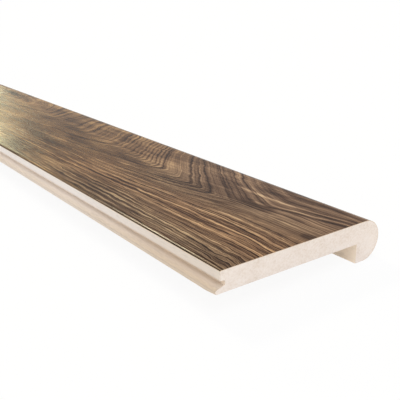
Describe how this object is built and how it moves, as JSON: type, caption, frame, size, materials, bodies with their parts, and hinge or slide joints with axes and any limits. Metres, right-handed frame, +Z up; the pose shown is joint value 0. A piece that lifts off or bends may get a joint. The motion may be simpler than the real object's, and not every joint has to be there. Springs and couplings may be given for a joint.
{
  "type": "flush stair nosing",
  "caption": "Flush stair nosing: printed laminate over a milled fibreboard strip, with a round nose, a hook over the step's edge and a groove for the floor plank's tongue.",
  "frame": {"origin": "middle of the stock, at the bottom of its box, level with the foot of the hook", "axes": "+X along the stock, +Y across it towards the round nose, +Z up, square to the walked-on face"},
  "size_m": [2.388, 0.1142, 0.0234],
  "materials": {
    "fibreboard": "matte",
    "wood_print": "satin"
  },
  "bodies": {
    "root": {"fibreboard_core": "fibreboard", "printed_laminate": "wood_print"}
  },
  "joints": []
}
